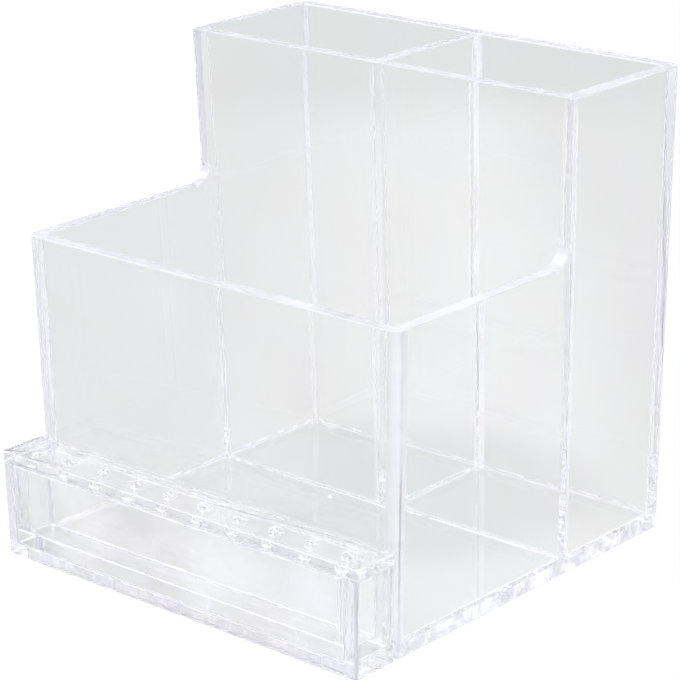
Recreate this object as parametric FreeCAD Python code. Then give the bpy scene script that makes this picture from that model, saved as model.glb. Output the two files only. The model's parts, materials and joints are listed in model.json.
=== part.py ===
import FreeCAD, Part
import math
import os

# Clear desk-top brush holder with a slim drawer, in millimetres.
# Origin: middle of the footprint, on the surface that the holder stands on.
# +Z is up, the drawer opens towards -Y, +X is to the right of someone facing the drawer.

# ---- driving dimensions: body -------------------------------------------------------
BODY_WIDTH = 100.0          # across the two side panels, at the bottom
BODY_DEPTH = 90.7           # front wall's face to rear wall's back
TALL_DEPTH = 35.6           # rear section, partition's face to rear wall's back, at the bottom
TALL_HEIGHT = 104.5         # rear section
LOW_HEIGHT = 69.3           # front section
SIDE_LEAN_DEG = 1.66        # how far the side panels flare outwards
PARTITION_LEAN_DEG = 1.0    # how far the partition and the tall front edges lean forwards

SIDE_THICKNESS = 3.0
REAR_THICKNESS = 3.0
FRONT_THICKNESS = 3.0
PARTITION_THICKNESS = 2.5
DIVIDER_THICKNESS = 2.5
BASE_THICKNESS = 3.3

STEP_RADIUS = 5.0           # hollow curve where a side panel steps down
LOW_CORNER_RADIUS = 2.8     # rounded upright corners of the front section
TALL_CORNER_RADIUS = 2.4    # rounded upright corners of the rear section

# ---- driving dimensions: drawer bay and its tool rack ---------------------------------
BAY_DEPTH = 11.4
BAY_HEIGHT = 23.7
BAY_FLOOR_THICKNESS = 3.0
CHEEK_THICKNESS = 3.0
RACK_THICKNESS = 2.5
BAY_CORNER_RADIUS = 0.8

HOLE_COUNT = 10
HOLE_DIAMETER = 2.8
HOLE_PITCH = 9.85
HOLE_SETBACK = 5.2          # rack's front edge to the row of holes

# ---- driving dimensions: drawer -------------------------------------------------------
DRAWER_CLEARANCE = 0.2      # all round, and behind
DRAWER_FRONT_THICKNESS = 2.7
DRAWER_BACK_THICKNESS = 2.2
DRAWER_END_THICKNESS = 2.4
DRAWER_FLOOR_THICKNESS = 2.6

# ---- worked out -----------------------------------------------------------------------
SIDE_LEAN = math.tan(math.radians(SIDE_LEAN_DEG))
PARTITION_LEAN = math.tan(math.radians(PARTITION_LEAN_DEG))

HALF_WIDTH = BODY_WIDTH / 2
BAY_FRONT = -(BAY_DEPTH + BODY_DEPTH) / 2
BODY_FRONT = BAY_FRONT + BAY_DEPTH
BODY_BACK = BODY_FRONT + BODY_DEPTH
PARTITION_FRONT = BODY_BACK - TALL_DEPTH
PARTITION_BACK = PARTITION_FRONT + PARTITION_THICKNESS

RACK_BOTTOM = BAY_HEIGHT - RACK_THICKNESS
DRAWER_BOTTOM = BAY_FLOOR_THICKNESS + DRAWER_CLEARANCE
DRAWER_TOP = RACK_BOTTOM - DRAWER_CLEARANCE
DRAWER_HALF_WIDTH = HALF_WIDTH - CHEEK_THICKNESS - DRAWER_CLEARANCE
DRAWER_FRONT = BAY_FRONT
DRAWER_BACK = BODY_FRONT - DRAWER_CLEARANCE


def block(x_range, y_range, z_range, x_leans=(0, 0), y_leans=(0, 0)):
    """Six flat faces. Each x and y is where that face would meet z = 0, and its lean is
    how far it moves towards +X or +Y for each millimetre of height."""
    def corner(i, j, z):
        return FreeCAD.Vector(x_range[i] + x_leans[i] * z, y_range[j] + y_leans[j] * z, z)

    low, high = z_range
    quads = [
        [corner(0, 0, low), corner(0, 1, low), corner(1, 1, low), corner(1, 0, low)],
        [corner(0, 0, high), corner(1, 0, high), corner(1, 1, high), corner(0, 1, high)],
        [corner(0, 0, low), corner(1, 0, low), corner(1, 0, high), corner(0, 0, high)],
        [corner(1, 1, low), corner(0, 1, low), corner(0, 1, high), corner(1, 1, high)],
        [corner(0, 1, low), corner(0, 0, low), corner(0, 0, high), corner(0, 1, high)],
        [corner(1, 0, low), corner(1, 1, low), corner(1, 1, high), corner(1, 0, high)],
    ]
    shell = Part.makeShell([Part.Face(Part.makePolygon(quad + quad[:1])) for quad in quads])
    shell.sewShape()
    return Part.makeSolid(shell)


def flared(half_width, y_range, z_range, y_leans=(0, 0)):
    """A panel that fills the width between the two flaring sides."""
    return block((-half_width, half_width), y_range, z_range, (-SIDE_LEAN, SIDE_LEAN), y_leans)


def flared_wall(side, outer, thickness, y_range, z_range):
    """An upright panel that leans outwards. side is -1 for the left one, +1 for the right."""
    lean = side * SIDE_LEAN
    x_range = sorted((side * outer, side * (outer - thickness)))
    return block(x_range, y_range, z_range, (lean, lean))


def round_corners(solid, half_width, corner_line, radius):
    """Rounds the outer upright edges that follow y = corner_line(z)."""
    def is_corner(edge):
        ends = [vertex.Point for vertex in edge.Vertexes]
        if len(ends) != 2 or abs(ends[0].z - ends[1].z) < radius / 2:
            return False
        on_side = all(abs(abs(p.x) - half_width - SIDE_LEAN * p.z) < 0.01 for p in ends)
        return on_side and all(abs(p.y - corner_line(p.z)) < 0.01 for p in ends)

    return solid.makeFillet(radius, [edge for edge in solid.Edges if is_corner(edge)])


def partition_face(z):
    return PARTITION_FRONT - PARTITION_LEAN * z


def body_front(z):
    return BODY_FRONT


def body_back(z):
    return BODY_BACK


def bay_front(z):
    return BAY_FRONT


def base_plate():
    plate = flared(HALF_WIDTH, (BODY_FRONT, BODY_BACK), (0, BASE_THICKNESS))
    plate = round_corners(plate, HALF_WIDTH, body_front, LOW_CORNER_RADIUS)
    return round_corners(plate, HALF_WIDTH, body_back, TALL_CORNER_RADIUS)


def rear_wall():
    inner = HALF_WIDTH - SIDE_THICKNESS
    return flared(inner, (BODY_BACK - REAR_THICKNESS, BODY_BACK), (BASE_THICKNESS, TALL_HEIGHT))


def front_wall():
    inner = HALF_WIDTH - SIDE_THICKNESS
    return flared(inner, (BODY_FRONT, BODY_FRONT + FRONT_THICKNESS), (BASE_THICKNESS, LOW_HEIGHT))


def partition():
    inner = HALF_WIDTH - SIDE_THICKNESS
    lean = (-PARTITION_LEAN, -PARTITION_LEAN)
    return flared(inner, (PARTITION_FRONT, PARTITION_BACK), (BASE_THICKNESS, TALL_HEIGHT), lean)


def divider():
    x_range = (-DIVIDER_THICKNESS / 2, DIVIDER_THICKNESS / 2)
    y_range = (PARTITION_BACK, BODY_BACK - REAR_THICKNESS)
    return block(x_range, y_range, (BASE_THICKNESS, TALL_HEIGHT), y_leans=(-PARTITION_LEAN, 0))


def step_web():
    """The hollow curve that fills the inner corner of the step, across the whole width.
    Behind the curve it slopes down over the rounded corner of the tall section."""
    foot = FreeCAD.Vector(-BODY_WIDTH, partition_face(LOW_HEIGHT), LOW_HEIGHT)
    lean = math.radians(PARTITION_LEAN_DEG)
    tangent = STEP_RADIUS * math.tan((math.pi / 2 + lean) / 2)
    start = foot - FreeCAD.Vector(0, tangent, 0)
    end = foot + FreeCAD.Vector(0, -tangent * math.sin(lean), tangent * math.cos(lean))
    centre = start + FreeCAD.Vector(0, 0, STEP_RADIUS)
    towards = (start + end) * 0.5 - centre
    middle = centre + towards * (STEP_RADIUS / towards.Length)
    back = foot + FreeCAD.Vector(0, TALL_CORNER_RADIUS, 0)
    edges = [Part.makeLine(start, back), Part.makeLine(back, end),
             Part.Arc(end, middle, start).toShape()]
    return Part.Face(Part.Wire(edges)).extrude(FreeCAD.Vector(2 * BODY_WIDTH, 0, 0))


def side_panel(side):
    low = flared(HALF_WIDTH, (BODY_FRONT, BODY_BACK), (BASE_THICKNESS, LOW_HEIGHT))
    low = round_corners(low, HALF_WIDTH, body_front, LOW_CORNER_RADIUS)
    low = round_corners(low, HALF_WIDTH, body_back, TALL_CORNER_RADIUS)
    tall = flared(HALF_WIDTH, (PARTITION_FRONT, BODY_BACK), (BASE_THICKNESS, TALL_HEIGHT),
                  (-PARTITION_LEAN, 0))
    tall = round_corners(tall, HALF_WIDTH, partition_face, TALL_CORNER_RADIUS)
    tall = round_corners(tall, HALF_WIDTH, body_back, TALL_CORNER_RADIUS)
    flush_web = step_web().common(flared(HALF_WIDTH, (BODY_FRONT, BODY_BACK), (0, TALL_HEIGHT)))
    outside = low.fuse([tall, flush_web]).removeSplitter()
    sheet = flared_wall(side, HALF_WIDTH + SIDE_THICKNESS, 2 * SIDE_THICKNESS,
                        (BODY_FRONT, BODY_BACK), (BASE_THICKNESS, TALL_HEIGHT))
    return sheet.common(outside).Solids[0]


def bay_floor():
    floor = flared(HALF_WIDTH, (BAY_FRONT, BODY_FRONT), (0, BAY_FLOOR_THICKNESS))
    return round_corners(floor, HALF_WIDTH, bay_front, BAY_CORNER_RADIUS)


def bay_cheek(side):
    cheek = flared_wall(side, HALF_WIDTH, CHEEK_THICKNESS,
                        (BAY_FRONT, BODY_FRONT), (BAY_FLOOR_THICKNESS, RACK_BOTTOM))
    return round_corners(cheek, HALF_WIDTH, bay_front, BAY_CORNER_RADIUS)


def rack_plate():
    plate = flared(HALF_WIDTH, (BAY_FRONT, BODY_FRONT), (RACK_BOTTOM, BAY_HEIGHT))
    plate = round_corners(plate, HALF_WIDTH, bay_front, BAY_CORNER_RADIUS)
    first = -HOLE_PITCH * (HOLE_COUNT - 1) / 2
    for i in range(HOLE_COUNT):
        foot = FreeCAD.Vector(first + i * HOLE_PITCH, BAY_FRONT + HOLE_SETBACK, RACK_BOTTOM)
        plate = plate.cut(Part.makeCylinder(HOLE_DIAMETER / 2, RACK_THICKNESS, foot))
    return plate.Solids[0]


def drawer_front():
    y_range = (DRAWER_FRONT, DRAWER_FRONT + DRAWER_FRONT_THICKNESS)
    return flared(DRAWER_HALF_WIDTH, y_range, (DRAWER_BOTTOM, DRAWER_TOP))


def drawer_back():
    y_range = (DRAWER_BACK - DRAWER_BACK_THICKNESS, DRAWER_BACK)
    return flared(DRAWER_HALF_WIDTH, y_range, (DRAWER_BOTTOM, DRAWER_TOP))


def drawer_inside():
    """The stretch of y between the drawer's front and back panels."""
    return (DRAWER_FRONT + DRAWER_FRONT_THICKNESS, DRAWER_BACK - DRAWER_BACK_THICKNESS)


def drawer_end(side):
    return flared_wall(side, DRAWER_HALF_WIDTH, DRAWER_END_THICKNESS,
                       drawer_inside(), (DRAWER_BOTTOM, DRAWER_TOP))


def drawer_floor():
    z_range = (DRAWER_BOTTOM, DRAWER_BOTTOM + DRAWER_FLOOR_THICKNESS)
    return flared(DRAWER_HALF_WIDTH - DRAWER_END_THICKNESS, drawer_inside(), z_range)


def main():
    parts = {
        "base_plate": base_plate(),
        "rear_wall": rear_wall(),
        "left_side_panel": side_panel(-1),
        "right_side_panel": side_panel(+1),
        "front_wall": front_wall(),
        "partition": partition(),
        "divider": divider(),
        "bay_floor": bay_floor(),
        "left_bay_cheek": bay_cheek(-1),
        "right_bay_cheek": bay_cheek(+1),
        "rack_plate": rack_plate(),
        "drawer_front": drawer_front(),
        "drawer_back": drawer_back(),
        "drawer_left_end": drawer_end(-1),
        "drawer_right_end": drawer_end(+1),
        "drawer_floor": drawer_floor(),
    }
    os.makedirs("parts", exist_ok=True)
    for name, shape in parts.items():
        shape.exportStep(os.path.join("parts", name + ".step"))
        box = shape.optimalBoundingBox()
        print(f"{name:18s} solids {len(shape.Solids)} valid {shape.isValid()} "
              f"volume {shape.Volume:9.1f} "
              f"x {box.XMin:7.2f} {box.XMax:7.2f} y {box.YMin:7.2f} {box.YMax:7.2f} "
              f"z {box.ZMin:6.2f} {box.ZMax:6.2f}")


main()
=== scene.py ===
"""A clear plastic brush holder with a slim drawer, on a pale studio floor.

Pieces are made in millimetres and turned into metres when they are finished. +Z is up,
the drawer opens towards -Y, and +X is to the right of someone facing the drawer.
"""

import json
import math

import bmesh
import bpy
from mathutils import Matrix, Vector

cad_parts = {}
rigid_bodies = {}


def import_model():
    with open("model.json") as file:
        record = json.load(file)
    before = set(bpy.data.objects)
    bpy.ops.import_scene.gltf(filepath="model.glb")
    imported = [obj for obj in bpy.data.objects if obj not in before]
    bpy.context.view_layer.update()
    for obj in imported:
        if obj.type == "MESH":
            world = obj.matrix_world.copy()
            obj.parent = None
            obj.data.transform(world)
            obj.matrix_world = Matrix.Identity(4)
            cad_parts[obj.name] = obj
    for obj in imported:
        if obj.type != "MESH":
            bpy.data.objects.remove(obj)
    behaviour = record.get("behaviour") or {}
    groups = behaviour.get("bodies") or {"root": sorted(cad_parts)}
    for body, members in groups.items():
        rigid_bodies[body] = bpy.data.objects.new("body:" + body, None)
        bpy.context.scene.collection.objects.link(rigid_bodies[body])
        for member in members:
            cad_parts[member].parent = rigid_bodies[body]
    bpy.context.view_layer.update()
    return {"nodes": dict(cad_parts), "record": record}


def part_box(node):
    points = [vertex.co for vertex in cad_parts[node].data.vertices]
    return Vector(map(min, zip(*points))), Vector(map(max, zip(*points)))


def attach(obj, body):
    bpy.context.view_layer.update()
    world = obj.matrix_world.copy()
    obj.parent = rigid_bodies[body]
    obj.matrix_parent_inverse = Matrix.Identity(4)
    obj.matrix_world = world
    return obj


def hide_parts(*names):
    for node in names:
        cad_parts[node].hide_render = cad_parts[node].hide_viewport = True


MM = 0.001

# Camera: where it stands, which way it looks, and its lens for a 36 mm sensor.
CAMERA_PLACE = (0.37228, -0.41582, 0.23749)
CAMERA_AZIMUTH = 41.703     # degrees round from the drawer's side towards +X
CAMERA_ELEVATION = 18.938   # degrees above the horizon
CAMERA_ROLL = -0.940        # degrees
CAMERA_LENS = 146.0
SENSOR_WIDTH = 36.0
CLIP_NEAR, CLIP_FAR = 0.01, 20

# Studio tent: its colour, and its patches. A patch lies round a direction, and its colour
# fades in between the cosines of its edge and its core.
TENT_LOW_COLOUR = (0.74, 0.75, 0.76)
TENT_PATCHES = (
    ((0, 0, 1), (0.42, 0.60), (1.18, 1.18, 1.27)),              # the bright roof
    ((0.63, -0.70, 0.33), (0.94, 0.985), (0.05, 0.05, 0.07)),   # the opening, dark
)

# Softboxes: name, place, place that it faces, width and height, and power in watts.
SOFTBOXES = (
    ("right_softbox", (0.55, 0.15, 0.55), (0.02, 0.02, 0.0), (0.4, 0.5), 2.4),
    ("left_softbox", (-0.6, -0.3, 0.7), (0, 0, 0.0), (0.4, 0.5), 2.3),
    ("front_softbox", (0.0, -0.9, 0.3), (0, 0, 0.0), (0.4, 0.3), 1.0),
)

# Floor: white paper. Seen through the plastic, its tone is painted light and shade that stands in
# for how the lamps light it, and it changes from stripe to stripe. A stripe lies across ACROSS or
# ALONG, and its tone fades in between two distances from the holder's middle, in metres.
FLOOR_REACH = 4.0
FLOOR_LEVEL = -0.05 * MM        # just under the holder
MATT_PAPER = (0.10, 0.10, 0.10, 1)
WHITE = (1, 1, 1, 1)
ACROSS = (0.747, 0.665, 0)
ACROSS_BACKWARDS = (-0.747, -0.665, 0)
ALONG = (-0.665, 0.747, 0)
# painted light on the paper, left of the painted pool of the lamps' light
PAINTED_LIGHT_LEFT = (0.64, 0.65, 0.655)
PAINTED_LIGHT_STRIPES = (
    (ACROSS, (-0.06, 0.05), (0.735, 0.745, 0.75)),              # a painted pool of the lamps' light
    (ACROSS, (0.045, 0.09), (0.65, 0.66, 0.665)),               # painted light, right of the holder
    (ALONG, (0.34, 0.43), (0.61, 0.625, 0.62)),                 # painted shade, behind the holder
    (ACROSS, (0.5, 1.2), (0.25, 0.25, 0.30)),                   # painted shade, far to the right
    (ACROSS_BACKWARDS, (0.35, 0.8), (1.35, 1.35, 1.4)),         # painted light, far to the left
)
# Painted shadow: a darker paper tone under the holder's rear half, seen through the plastic
PAINTED_SHADOW_TONE = (0.61, 0.625, 0.635)
PAINTED_SHADOW_PLACE = (-0.008, 0.03, 0)     # middle of the painted shadow under the holder's rear half
PAINTED_SHADOW_FADE = (0.035, 0.055)         # how far out the painted shadow starts and stops to fade

# What all the plastics share.
PLASTIC_IOR = 1.5
SHADOW_TINT = (0.98, 0.98, 0.98, 1)     # of the lamps' light behind the plastic
TONER_COLOUR = (0.78, 0.77, 0.95, 1)    # a faint violet, seen along long paths
TONER_DENSITY = 1.2                     # per metre
RIPPLE_ROUGHNESS = 0.4
CLOUD_NOISE = {"Detail": 2.0, "Distortion": 0.4}
CLOUD_FADE = (0.38, 0.66)               # a cloud builds up between these values of its noise
STRESS_NOISE = {"Detail": 1.0, "Distortion": 0.6}
STRESS_SCALE = 35.0                     # per metre
STRESS_LOSSES = (       # a value of the noise, and the red, green and blue lost at full strength
    (0.30, (0, 1, 1 / 2)), (0.42, (0, 1 / 3, 1)), (0.52, (1 / 2, 0, 1 / 3)),
    (0.62, (1 / 2, 1 / 4, 0)), (0.72, (0, 1 / 2, 0)),
)

# Plastics: ripple layers, strength of the stress tint, roughness, matt clouds and hue. A
# ripple layer is a wavelength, a depth and a count of finer ripples on it. Clouds are a
# wavelength and their least and greatest matt share. Lengths are in millimetres.
CLEAR_HUE = (1, 1, 1)
EDGE_HUE = (0.985, 0.985, 1.0)
BAY_RIPPLES = ((11.0, 0.22, 1), (4.0, 0.04, 1))
RIM_RIPPLES = ((6.0, 0.008, 1),)
PLASTICS = {
    "clear_body": (((14.0, 0.01, 1),), 0.014, 0.0, (35, 0, 0.012), CLEAR_HUE),
    "clear_edge": (((18.0, 0.012, 0),), 0.02, 0.06, (15, 0.28, 0.36), EDGE_HUE),
    "clouded_wall": (((18.0, 0.04, 0),), 0.02, 0.06, (14, 0, 0.16), EDGE_HUE),
    "clear_bay": (BAY_RIPPLES, 0.008, 0.03, (20, 0, 0.03), CLEAR_HUE),
    "clear_drawer": (BAY_RIPPLES, 0.008, 0.03, (24, 0, 0.03), CLEAR_HUE),
    "satin_rim": (RIM_RIPPLES, 0.01, 0.25, (14, 0.32, 0.4), EDGE_HUE),
    "satin_seam": (RIM_RIPPLES, 0.01, 0.25, (14, 0.7, 0.9), CLEAR_HUE),
    "satin_foot": (((9.0, 0.25, 1), (2.5, 0.1, 1)), 0.03, 0.04, (5, 0.25, 0.95), EDGE_HUE),
}

# Bounces of light: trapped in the plastic, on matt faces, and of a lamp's light through it.
TRAPPED_BOUNCES = 128
DIFFUSE_BOUNCES = 4
SHADOW_BOUNCES = 40

# Forms that the moulding tool gives the plastic, in millimetres.
RIM_RADIUS = 0.4            # eased edges of walls and rims
BAY_RIM_RADIUS = 0.3        # the same, on the bay and its drawer
HOLE_RIM_RADIUS = 0.25
BOND_GAP = 0.03             # air left between two bonded pieces
LOW_CORNER_RADIUS = 2.8
TALL_CORNER_RADIUS = 2.4
STEP_RADIUS = 5.0
BAY_CORNER_RADIUS = 0.8
INNER_CORNER_RADIUS = 0.8
ARC_STEPS = 12              # facets of a quarter turn
EASE_STEPS = 3              # facets of an eased edge
HOLE_SIDES = 48
POKE = 10.0                 # how far a cutter stands out of what it cuts
WEB_HALF_LENGTH = 80.0      # the step's web, before it is trimmed to the body
WEB_SINK = 1.0              # how far the web reaches down into the low walls

# Tolerances, in millimetres and degrees.
SAME_HEIGHT = 0.02
SAME_PLACE = 0.05
CUT_LOOSE_END = 0.004
EASED_LOOSE_END = 0.01
FLAT_ANGLE = 0.5            # faces that meet at less are one flat face
EASED_ANGLE = 35            # edges that turn by more are eased
SHARP_ANGLE = 50            # what turns by more after that is shaded sharp
FLATNESS = 100              # per cent, how firmly a large face keeps its flat shading

# Where the skin of a piece changes, in millimetres. A tilt is the upward or downward part
# of a face's normal.
FILLET_WIDTH = 0.6          # faces of eased edges and small fillets are narrower
BAY_FILLET_WIDTH = 0.35     # the same, on the bay and its drawer
LOWEST_RIM = 10.0           # rims lie higher
SEAM_REACH = 2.5            # how far the divider's seam reaches from the middle of the holder
SEAM_DEPTH = 1.0            # and out of the rear wall
SKIN_MARGIN = 0.1           # how exactly a face's centre is placed against a boundary
RIM_TILT = 0.2              # rims tilt up by more
FOOT_TILT = 0.5             # the upright faces round a foot tilt by less
HOLE_TILT = 0.1             # so do the walls of the holes


# ---- measuring the frame --------------------------------------------------------------

def box(node):
    """A CAD node's lowest and highest corners, in millimetres."""
    low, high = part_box(node)
    return low / MM, high / MM


def reach(node, axis, sign, z):
    """The lowest (sign -1) or highest (sign +1) x or y of a CAD node at height z."""
    corners = [v.co / MM for v in FRAME["nodes"][node].data.vertices]
    level = [c["xy".index(axis)] for c in corners if abs(c.z - z) < SAME_HEIGHT]
    return max(level) if sign > 0 else min(level)


class Span:
    """How far a CAD node reaches, changing evenly from its lowest to its highest point."""

    def __init__(self, node, axis, sign):
        self.z0, self.z1 = (corner.z for corner in box(node))
        self.v0 = reach(node, axis, sign, self.z0)
        self.v1 = reach(node, axis, sign, self.z1)

    def at(self, z):
        return self.v0 + (self.v1 - self.v0) * (z - self.z0) / (self.z1 - self.z0)


# ---- solids ---------------------------------------------------------------------------

def link(name, mesh):
    obj = bpy.data.objects.new(name, mesh)
    bpy.context.scene.collection.objects.link(obj)
    return obj


def solid_between(name, low_ring, high_ring):
    """A solid between two outlines that run anticlockwise, seen from beyond the second."""
    bm = bmesh.new()
    low = [bm.verts.new(p) for p in low_ring]
    high = [bm.verts.new(p) for p in high_ring]
    bm.faces.new(reversed(low))
    bm.faces.new(high)
    for i in range(len(low)):
        j = (i + 1) % len(low)
        bm.faces.new((low[i], low[j], high[j], high[i]))
    mesh = bpy.data.meshes.new(name)
    bm.to_mesh(mesh)
    bm.free()
    return link(name, mesh)


def outline(rect, radii):
    """Rounded rectangle. rect is x0, x1, y0, y1 and radii are those of its corners at
    (x0, y0), (x1, y0), (x1, y1) and (x0, y1)."""
    x0, x1, y0, y1 = rect
    corners = [(x0, y0, 1, 1), (x1, y0, -1, 1), (x1, y1, -1, -1), (x0, y1, 1, -1)]
    points = []
    for turn, ((x, y, sx, sy), radius) in enumerate(zip(corners, radii)):
        if radius <= 0:
            points.append((x, y))
            continue
        cx, cy = x + sx * radius, y + sy * radius
        start = math.pi + turn * math.pi / 2
        for step in range(ARC_STEPS + 1):
            angle = start + step / ARC_STEPS * math.pi / 2
            points.append((cx + radius * math.cos(angle), cy + radius * math.sin(angle)))
    return points


def prism(name, rect_at, z0, z1, radii=(0, 0, 0, 0)):
    """A solid whose outline at each height z is the rounded rectangle rect_at(z)."""
    rings = [[(x, y, z) for x, y in outline(rect_at(z), radii)] for z in (z0, z1)]
    return solid_between(name, *rings)


def cylinder(name, centre, radius, z0, z1):
    turns = [i / HOLE_SIDES * math.tau for i in range(HOLE_SIDES)]
    ring = [(centre[0] + radius * math.cos(turn), centre[1] + radius * math.sin(turn))
            for turn in turns]
    return solid_between(name, [(x, y, z0) for x, y in ring], [(x, y, z1) for x, y in ring])


def apply_modifiers(obj):
    """Puts the result of obj's modifiers into its mesh."""
    graph = bpy.context.evaluated_depsgraph_get()
    mesh = bpy.data.meshes.new_from_object(obj.evaluated_get(graph), depsgraph=graph)
    obj.modifiers.clear()
    obj.data = mesh
    return obj


def combine(obj, other, operation):
    """Joins, cuts or intersects obj with another solid, which is used up."""
    modifier = obj.modifiers.new(operation, "BOOLEAN")
    modifier.operation = operation
    modifier.solver = "MANIFOLD"
    modifier.object = other
    apply_modifiers(obj)
    bpy.data.objects.remove(other)


def tidy(obj):
    """Merges the loose ends of a cut and drops edges that lie in one flat face."""
    bm = bmesh.new()
    bm.from_mesh(obj.data)
    bmesh.ops.remove_doubles(bm, verts=bm.verts, dist=CUT_LOOSE_END)
    bmesh.ops.dissolve_limit(bm, angle_limit=math.radians(FLAT_ANGLE), verts=bm.verts,
                             edges=bm.edges)
    bm.to_mesh(obj.data)
    bm.free()
    return obj


def ease_edges(obj, radius, crisp=None):
    """Rounds every sharp edge and keeps the flat faces' normals flat. An edge stays as it
    is where crisp, given the edge's two ends, is true."""
    bm = bmesh.new()
    bm.from_mesh(obj.data)
    weight = bm.edges.layers.float.new("bevel_weight_edge")
    for edge in bm.edges:
        sharp = edge.calc_face_angle(0) > math.radians(EASED_ANGLE)
        if sharp and not (crisp and crisp(*[v.co for v in edge.verts])):
            edge[weight] = 1.0
    bm.to_mesh(obj.data)
    bm.free()
    bevel = obj.modifiers.new("ease", "BEVEL")
    bevel.width = radius
    bevel.segments = EASE_STEPS
    bevel.limit_method = "WEIGHT"
    bevel.miter_outer = "MITER_ARC"
    bevel.use_clamp_overlap = False
    apply_modifiers(obj)
    bm = bmesh.new()
    bm.from_mesh(obj.data)
    bmesh.ops.remove_doubles(bm, verts=bm.verts, dist=EASED_LOOSE_END)
    bmesh.ops.dissolve_degenerate(bm, dist=EASED_LOOSE_END, edges=bm.edges)
    for face in bm.faces:
        face.smooth = True
    for edge in bm.edges:
        edge.smooth = edge.calc_face_angle(0) < math.radians(SHARP_ANGLE)
    bm.to_mesh(obj.data)
    bm.free()
    weighted = obj.modifiers.new("flats", "WEIGHTED_NORMAL")
    weighted.mode = "FACE_AREA"
    weighted.weight = FLATNESS
    weighted.keep_sharp = True
    return apply_modifiers(obj)


def share_out(obj, rules):
    """Gives each face the material of the first rule that it meets. A rule takes the
    face's centre, normal and width; a face that meets none keeps material 0."""
    mesh = obj.data
    for face in mesh.polygons:
        longest = max((mesh.vertices[a].co - mesh.vertices[b].co).length
                      for a, b in face.edge_keys)
        width = face.area / longest
        met = [i + 1 for i, rule in enumerate(rules) if rule(face.center, face.normal, width)]
        face.material_index = met[0] if met else 0


def finish_piece(obj, body, nodes, plastic, skins):
    """Turns a finished piece into metres and says what it is to the frame. plastic is its
    own, and skins are other plastics, each with the rule for the faces that have it."""
    obj.data.materials.clear()
    for name in (plastic, *[skin for skin, _ in skins]):
        obj.data.materials.append(MATERIALS[name])
    share_out(obj, [rule for _, rule in skins])
    obj.data.transform(Matrix.Scale(MM, 4))
    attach(obj, body)
    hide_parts(*nodes)


def split_at(obj, place, axis):
    """Puts an edge round a piece at a place along an axis, so that its faces end there."""
    bm = bmesh.new()
    bm.from_mesh(obj.data)
    parts = list(bm.verts) + list(bm.edges) + list(bm.faces)
    across = Vector([float(name == axis) for name in "xyz"])
    bmesh.ops.bisect_plane(bm, geom=parts, plane_co=across * place, plane_no=across)
    bm.to_mesh(obj.data)
    bm.free()


# ---- pieces ---------------------------------------------------------------------------

def body_shell():
    """The moulded body: a stepped block with three hollows, as one clear piece."""
    low, high = box("base_plate")
    floor, front, back = high.z, low.y, high.y
    low_top = box("front_wall")[1].z
    tall_top = box("rear_wall")[1].z
    side = Span("right_side_panel", "x", +1)
    wall = side.at(floor) - reach("right_side_panel", "x", -1, floor)
    trough_front = reach("front_wall", "y", +1, floor)
    rear_face = reach("rear_wall", "y", -1, floor)
    partition_front = Span("partition", "y", -1)
    partition_back = Span("partition", "y", +1)
    divider = box("divider")[1].x

    def low_rect(z):
        return (-side.at(z), side.at(z), front, back)

    def tall_rect(z):
        return (-side.at(z), side.at(z), partition_front.at(z), back)

    def trough_rect(z):
        return (wall - side.at(z), side.at(z) - wall, trough_front, partition_front.at(z))

    def left_rect(z):
        return (wall - side.at(z), -divider, partition_back.at(z), rear_face)

    def right_rect(z):
        return (divider, side.at(z) - wall, partition_back.at(z), rear_face)

    tall_radii = (0, 0, TALL_CORNER_RADIUS, TALL_CORNER_RADIUS)
    low_radii = (LOW_CORNER_RADIUS,) * 2 + (TALL_CORNER_RADIUS,) * 2
    inner_radii = (INNER_CORNER_RADIUS,) * 4
    trough_radii = (INNER_CORNER_RADIUS,) * 2 + (0, 0)
    shell = prism("body_shell", low_rect, 0, low_top, low_radii)
    combine(shell, prism("tall", tall_rect, low_top - POKE, tall_top, tall_radii), "UNION")
    web = step_web(partition_front, low_top)
    combine(web, prism("trim", low_rect, low_top - POKE, low_top + POKE), "INTERSECT")
    combine(shell, web, "UNION")
    for rect, radii in ((trough_rect, trough_radii), (left_rect, inner_radii),
                        (right_rect, inner_radii)):
        hollow = prism("hollow", rect, floor, tall_top + POKE, radii)
        combine(shell, hollow, "DIFFERENCE")
    tidy(shell)
    lean, web_front = step_arc(partition_front, low_top)
    web_top = low_top + STEP_RADIUS * (1 + math.sin(lean))
    for height in (floor, box("rack_plate")[1].z, web_top):
        split_at(shell, height, "z")
    split_at(shell, web_front, "y")

    def in_web_corner(*ends):
        """The trough's back corners, and the inner edges of the web that runs out there."""
        if any(abs(abs(p.x) - (side.at(p.z) - wall)) > SAME_PLACE for p in ends):
            return False
        on_web = all(p.y > web_front - SAME_HEIGHT and p.z > low_top - SAME_HEIGHT for p in ends)
        return on_web or all(abs(p.y - partition_front.at(p.z)) < SAME_PLACE for p in ends)

    return ease_edges(shell, RIM_RADIUS, crisp=in_web_corner)


def step_arc(face, level):
    """The step's curve, seen from the side: how far the tall face leans forwards, as an
    angle, and the y of the curve's centre, which is where it leaves the low rim."""
    lean = math.atan2(face.at(level) - face.at(level + STEP_RADIUS), STEP_RADIUS)
    return lean, face.at(level) - STEP_RADIUS * math.tan((math.pi / 2 + lean) / 2)


def step_web(face, level):
    """The hollow curve in the inner corner of the step, wider than the body."""
    lean, centre_y = step_arc(face, level)
    centre_z = level + STEP_RADIUS
    back = face.at(level) + TALL_CORNER_RADIUS
    points = [(centre_y, level - WEB_SINK), (back, level - WEB_SINK), (back, level)]
    for step in range(ARC_STEPS + 1):
        angle = lean - (math.pi / 2 + lean) * step / ARC_STEPS
        points.append((centre_y + STEP_RADIUS * math.cos(angle),
                       centre_z + STEP_RADIUS * math.sin(angle)))
    ends = [[(x, y, z) for y, z in points] for x in (-WEB_HALF_LENGTH, WEB_HALF_LENGTH)]
    return solid_between("web", *ends)


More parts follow.
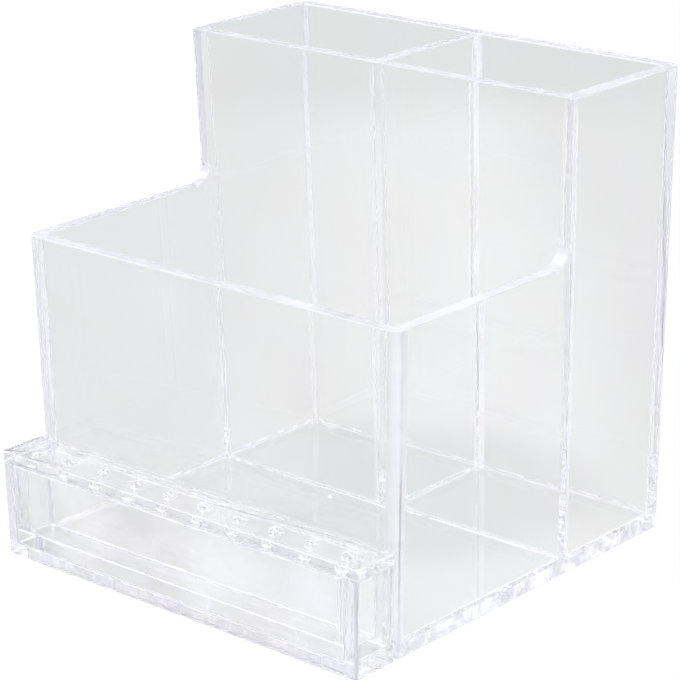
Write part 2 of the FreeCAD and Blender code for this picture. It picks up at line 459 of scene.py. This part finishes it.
def bay_shell():
    """Floor and ends of the shallow bay in front of the body."""
    low, high = box("bay_floor")
    side = Span("right_bay_cheek", "x", +1)
    inner = Span("right_bay_cheek", "x", -1)
    top = box("right_bay_cheek")[1].z - BOND_GAP

    def outer_rect(z):
        return (-side.at(z), side.at(z), low.y, high.y - BOND_GAP)

    def inner_rect(z):
        return (-inner.at(z), inner.at(z), low.y - POKE, high.y + POKE)

    radii = (BAY_CORNER_RADIUS, BAY_CORNER_RADIUS, 0, 0)
    shell = prism("bay_shell", outer_rect, 0, top, radii)
    combine(shell, prism("hollow", inner_rect, high.z, top + POKE), "DIFFERENCE")
    return ease_edges(tidy(shell), BAY_RIM_RADIUS)


def tool_rack():
    """Top plate of the bay, with its row of holes."""
    low, high = box("rack_plate")
    side = Span("rack_plate", "x", +1)

    def rect(z):
        return (-side.at(z), side.at(z), low.y, high.y - BOND_GAP)

    plate = prism("tool_rack", rect, low.z, high.z, (BAY_CORNER_RADIUS, BAY_CORNER_RADIUS, 0, 0))
    for mount in FRAME["record"]["mounts"]:
        if mount["kind"] == "bore":
            x, y, _ = (value / MM for value in mount["pos_m"])
            hole = cylinder("hole", (x, y), mount["dims"]["r_mm"], low.z - POKE, high.z + POKE)
            combine(plate, hole, "DIFFERENCE")
    return ease_edges(tidy(plate), HOLE_RIM_RADIUS)


def drawer_tray():
    """The slim drawer, open at the top."""
    low, high = box("drawer_front")
    back = box("drawer_back")[1].y
    hollow_low, hollow_high = box("drawer_floor")
    side = Span("drawer_front", "x", +1)
    inner = Span("drawer_right_end", "x", -1)

    def outer_rect(z):
        return (-side.at(z), side.at(z), low.y, back)

    def inner_rect(z):
        return (-inner.at(z), inner.at(z), hollow_low.y, hollow_high.y)

    tray = prism("drawer_tray", outer_rect, low.z, high.z)
    hollow = prism("hollow", inner_rect, hollow_high.z, high.z + POKE, (INNER_CORNER_RADIUS,) * 4)
    combine(tray, hollow, "DIFFERENCE")
    return ease_edges(tidy(tray), BAY_RIM_RADIUS)


# ---- shader nodes ---------------------------------------------------------------------

def add(tree, kind, settings=None):
    """A new shader node, with constants set on its own sockets."""
    node = tree.nodes.new("ShaderNode" + kind)
    for socket, value in (settings or {}).items():
        node.inputs[socket].default_value = value
    return node


def noise(tree, scale, settings):
    """Smooth noise over a piece's own coordinates, at a scale per metre."""
    place = add(tree, "TexCoord")
    texture = add(tree, "TexNoise", {"Scale": scale, **settings})
    tree.links.new(place.outputs["Object"], texture.inputs["Vector"])
    return texture.outputs["Fac"]


def compare(tree, place, operation, other):
    """How far a place lies from another, or along an axis."""
    maths = add(tree, "VectorMath", {1: other})
    maths.operation = operation
    tree.links.new(place, maths.inputs[0])
    return maths.outputs["Value"]


def fade(tree, value, span, ends=(0, 1)):
    """Goes smoothly from one end to the other as a value crosses a span."""
    names = ("From Min", "From Max", "To Min", "To Max")
    share = add(tree, "MapRange", dict(zip(names, (*span, *ends))))
    share.interpolation_type = "SMOOTHSTEP"
    tree.links.new(value, share.inputs["Value"])
    return share.outputs[0]


def blend(tree, share, first, second):
    """Goes from first to second, each a colour or a socket, as share goes from 0 to 1."""
    mix = add(tree, "Mix")
    mix.data_type = "RGBA"
    tree.links.new(share, mix.inputs["Factor"])
    for socket, colour in (("A", first), ("B", second)):
        if isinstance(colour, tuple):
            mix.inputs[socket].default_value = (*colour, 1)
        else:
            tree.links.new(colour, mix.inputs[socket])
    return mix.outputs["Result"]


def choose(tree, rays, usual, special):
    """Shows special to the rays that a Light Path socket names, and usual to all others."""
    mix = add(tree, "MixShader")
    share = add(tree, "LightPath").outputs[rays]
    for socket, source in zip(mix.inputs, (share, usual.outputs[0], special.outputs[0])):
        tree.links.new(source, socket)
    return mix.outputs[0]


# ---- materials ------------------------------------------------------------------------

def empty_material(name):
    material = bpy.data.materials.new(name)
    material.use_nodes = True
    material.node_tree.nodes.clear()
    return material


def ripples(tree, layers):
    """The slight waves that moulding leaves in a surface."""
    normal = None
    for wavelength, depth, detail in layers:
        settings = {"Detail": detail, "Roughness": RIPPLE_ROUGHNESS}
        height = noise(tree, 1 / (wavelength * MM), settings)
        bump = add(tree, "Bump", {"Strength": 1.0, "Distance": depth * MM})
        tree.links.new(height, bump.inputs["Height"])
        if normal:
            tree.links.new(normal, bump.inputs["Normal"])
        normal = bump.outputs[0]
    return normal


def stress_tint(tree, strength, hue):
    """Faint changes of hue that moulding stress leaves in clear plastic."""
    hues = add(tree, "ValToRGB")
    elements = hues.color_ramp.elements
    while len(elements) < len(STRESS_LOSSES):
        elements.new(0.5)
    for element, (position, losses) in zip(elements, STRESS_LOSSES):
        element.position = position
        element.color = (*[h * (1 - strength * loss) for h, loss in zip(hue, losses)], 1)
    stress = noise(tree, STRESS_SCALE, STRESS_NOISE)
    tree.links.new(stress, hues.inputs[0])
    return hues.outputs[0]


def clear_share(tree, wavelength, matt_least, matt_most):
    """How clear the skin is from place to place, between its matt clouds."""
    clouds = noise(tree, 1 / (wavelength * MM), CLOUD_NOISE)
    return fade(tree, clouds, CLOUD_FADE, (1 - matt_least, 1 - matt_most))


def clear_plastic(name, layers, stress, roughness, clouds, hue):
    """One of the PLASTICS, with toner inside. It lets the lamps' light through."""
    material = empty_material(name)
    tree = material.node_tree
    skin = add(tree, "BsdfPrincipled", {"Roughness": roughness, "IOR": PLASTIC_IOR})
    tree.links.new(clear_share(tree, *clouds), skin.inputs["Transmission Weight"])
    tree.links.new(stress_tint(tree, stress, hue), skin.inputs["Base Color"])
    tree.links.new(ripples(tree, layers), skin.inputs["Normal"])
    shadow = add(tree, "BsdfTransparent", {"Color": SHADOW_TINT})
    toner = add(tree, "VolumeAbsorption", {"Color": TONER_COLOUR, "Density": TONER_DENSITY})
    output = add(tree, "OutputMaterial")
    tree.links.new(choose(tree, "Is Shadow Ray", skin, shadow), output.inputs["Surface"])
    tree.links.new(toner.outputs[0], output.inputs["Volume"])
    return material


def floor_material():
    """White paper. Plastic shows it slightly grey, glowing with painted light and shade, and
    brightest where the lamps' pool is painted.
    """
    material = empty_material("pale_floor_painted_light")
    tree = material.node_tree
    place = add(tree, "NewGeometry").outputs["Position"]
    tone = PAINTED_LIGHT_LEFT
    for axis, span, colour in PAINTED_LIGHT_STRIPES:
        along = compare(tree, place, "DOT_PRODUCT", axis)
        tone = blend(tree, fade(tree, along, span), tone, colour)
    # painted shadow under the holder's rear half
    painted_shadow_distance = compare(tree, place, "DISTANCE", PAINTED_SHADOW_PLACE)
    tone = blend(tree, fade(tree, painted_shadow_distance, PAINTED_SHADOW_FADE), PAINTED_SHADOW_TONE, tone)
    # painted light: the paper's tone is given off as a glow, standing in for the lamps' light on
    # it
    painted_glow = add(tree, "Emission")
    tree.links.new(tone, painted_glow.inputs["Color"])
    matt = add(tree, "BsdfDiffuse", {"Color": MATT_PAPER})
    paper = add(tree, "AddShader")
    tree.links.new(matt.outputs[0], paper.inputs[0])
    tree.links.new(painted_glow.outputs[0], paper.inputs[1])
    white = add(tree, "Emission", {"Color": WHITE})
    output = add(tree, "OutputMaterial")
    tree.links.new(choose(tree, "Is Camera Ray", paper, white), output.inputs["Surface"])
    return material


# ---- stage ----------------------------------------------------------------------------

def stage_floor():
    mesh = bpy.data.meshes.new("floor")
    corners = [(-1, -1), (1, -1), (1, 1), (-1, 1)]
    mesh.from_pydata([(x * FLOOR_REACH, y * FLOOR_REACH, FLOOR_LEVEL) for x, y in corners],
                     [], [(0, 1, 2, 3)])
    mesh.materials.append(floor_material())
    link("floor", mesh)


def area_light(name, place, target, size, power):
    light = bpy.data.lights.new(name, "AREA")
    light.shape = "RECTANGLE"
    light.size, light.size_y = size
    light.energy = power
    obj = bpy.data.objects.new(name, light)
    obj.location = place
    obj.rotation_euler = (Vector(target) - Vector(place)).to_track_quat("-Z", "Y").to_euler()
    bpy.context.scene.collection.objects.link(obj)


def studio():
    """A white tent all round, with its dark opening on the side that faces the holder."""
    world = bpy.data.worlds.new("studio")
    bpy.context.scene.world = world
    world.use_nodes = True
    tree = world.node_tree
    direction = add(tree, "TexCoord").outputs["Generated"]
    tone = TENT_LOW_COLOUR
    for axis, span, colour in TENT_PATCHES:
        nearness = compare(tree, direction, "DOT_PRODUCT", Vector(axis).normalized())
        tone = blend(tree, fade(tree, nearness, span), tone, colour)
    sky = tree.nodes["Background"]
    sky.inputs["Strength"].default_value = 1.0
    tree.links.new(tone, sky.inputs["Color"])
    for softbox in SOFTBOXES:
        area_light(*softbox)


def camera():
    """The photograph's view."""
    azimuth, elevation, roll = map(math.radians, (CAMERA_AZIMUTH, CAMERA_ELEVATION, CAMERA_ROLL))
    back = Vector((math.sin(azimuth) * math.cos(elevation),
                   -math.cos(azimuth) * math.cos(elevation), math.sin(elevation)))
    level_right = Vector((math.cos(azimuth), math.sin(azimuth), 0))
    level_up = back.cross(level_right)
    right = level_right * math.cos(roll) + level_up * math.sin(roll)
    up = level_up * math.cos(roll) - level_right * math.sin(roll)
    data = bpy.data.cameras.new("camera")
    data.lens = CAMERA_LENS
    data.sensor_width = SENSOR_WIDTH
    data.clip_start, data.clip_end = CLIP_NEAR, CLIP_FAR
    obj = bpy.data.objects.new("camera", data)
    axes = Matrix((right, up, back)).transposed().to_4x4()
    obj.matrix_world = Matrix.Translation(CAMERA_PLACE) @ axes
    bpy.context.scene.collection.objects.link(obj)
    bpy.context.scene.camera = obj


def light_paths():
    """Enough bounces for light to leave the plastic again, however it is trapped."""
    scene = bpy.context.scene
    scene.view_settings.view_transform = "Standard"
    scene.cycles.max_bounces = TRAPPED_BOUNCES
    scene.cycles.transmission_bounces = TRAPPED_BOUNCES
    scene.cycles.glossy_bounces = TRAPPED_BOUNCES
    scene.cycles.diffuse_bounces = DIFFUSE_BOUNCES
    scene.cycles.transparent_max_bounces = SHADOW_BOUNCES


# ---- the scene ------------------------------------------------------------------------

for stray in list(bpy.data.objects):
    bpy.data.objects.remove(stray)
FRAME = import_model()
MATERIALS = {name: clear_plastic(name, *look) for name, look in PLASTICS.items()}

base_top = box("base_plate")[1].z
bay_top = box("rack_plate")[1].z
bay_floor = box("bay_floor")[1].z
front_inside = reach("front_wall", "y", +1, base_top)
rear_face = reach("rear_wall", "y", -1, base_top)


# Rules that say which faces have which skin.

def is_seam(centre, normal, width):
    """The fillets that hold the divider to the rear wall."""
    at_wall = abs(centre.x) < SEAM_REACH and centre.y > rear_face - SEAM_DEPTH
    return at_wall and width < FILLET_WIDTH


def is_rim(centre, normal, width):
    return centre.z > LOWEST_RIM and normal.z > RIM_TILT


def is_foot(centre, normal, width):
    return centre.z < base_top - SKIN_MARGIN and abs(normal.z) < FOOT_TILT


def is_fillet(centre, normal, width):
    return width < FILLET_WIDTH


def is_behind_bay(centre, normal, width):
    """The part of the front wall that stands behind the bay."""
    return centre.z < bay_top and centre.y < front_inside + SKIN_MARGIN


def is_bay_foot(centre, normal, width):
    return centre.z < bay_floor - SKIN_MARGIN and abs(normal.z) < FOOT_TILT


def is_bay_fillet(centre, normal, width):
    return width < BAY_FILLET_WIDTH


def is_hole_rim(centre, normal, width):
    return width < BAY_FILLET_WIDTH and abs(normal.z) > HOLE_TILT


finish_piece(
    body_shell(), "holder",
    ("base_plate", "rear_wall", "left_side_panel", "right_side_panel", "front_wall",
     "partition", "divider"),
    "clear_body",
    (("satin_seam", is_seam), ("satin_rim", is_rim), ("satin_foot", is_foot),
     ("clear_edge", is_fillet), ("clouded_wall", is_behind_bay)))
finish_piece(
    bay_shell(), "holder", ("bay_floor", "left_bay_cheek", "right_bay_cheek"),
    "clear_bay", (("satin_foot", is_bay_foot), ("clear_edge", is_bay_fillet)))
finish_piece(
    tool_rack(), "holder", ("rack_plate",),
    "clear_bay", (("satin_rim", is_hole_rim),))
finish_piece(
    drawer_tray(), "drawer",
    ("drawer_front", "drawer_back", "drawer_left_end", "drawer_right_end", "drawer_floor"),
    "clear_drawer", (("satin_rim", is_bay_fillet),))
stage_floor()
studio()
camera()
light_paths()
